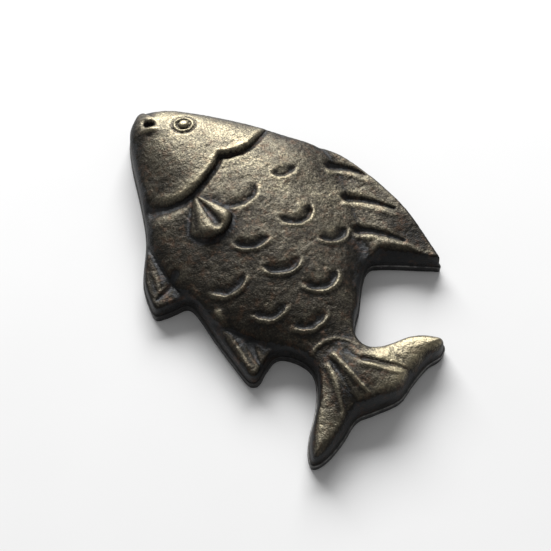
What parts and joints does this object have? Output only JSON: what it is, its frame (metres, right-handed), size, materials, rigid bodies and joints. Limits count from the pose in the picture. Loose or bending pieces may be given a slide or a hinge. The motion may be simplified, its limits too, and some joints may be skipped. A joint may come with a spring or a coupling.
{
  "type": "souvenir bottle opener",
  "caption": "Fish-shaped pocket bottle opener: a hollow relief casting screwed to a flat steel plate, with a cap mouth between dorsal fin and tail and a flush magnet in the back.",
  "frame": {"origin": "middle of the bottom of the whole opener, on the plate's flat back", "axes": "+X from the fish's nose to its tail, +Y from belly to dorsal fin, +Z out of the relief face"},
  "size_m": [0.104, 0.0668, 0.0144],
  "materials": {
    "antique_bronze": "sand-cast, dark brown-black antique patina rubbed back to dull gold on the raised edges",
    "blackened_steel": "blackened flat steel, dull, with bare worn edges",
    "zinc_screw_steel": "zinc-plated screws, satin",
    "bright_cup_steel": "nickel-plated pressed steel, turned face",
    "magnet_ferrite": "sintered dark grey ferrite, matt"
  },
  "bodies": {
    "root": {"relief_casting": "antique_bronze", "opener_plate": "blackened_steel", "plate_screw_1": "zinc_screw_steel", "plate_screw_2": "zinc_screw_steel", "plate_screw_3": "zinc_screw_steel", "plate_screw_4": "zinc_screw_steel", "magnet_cup": "bright_cup_steel", "magnet_disc": "magnet_ferrite"}
  },
  "joints": []
}
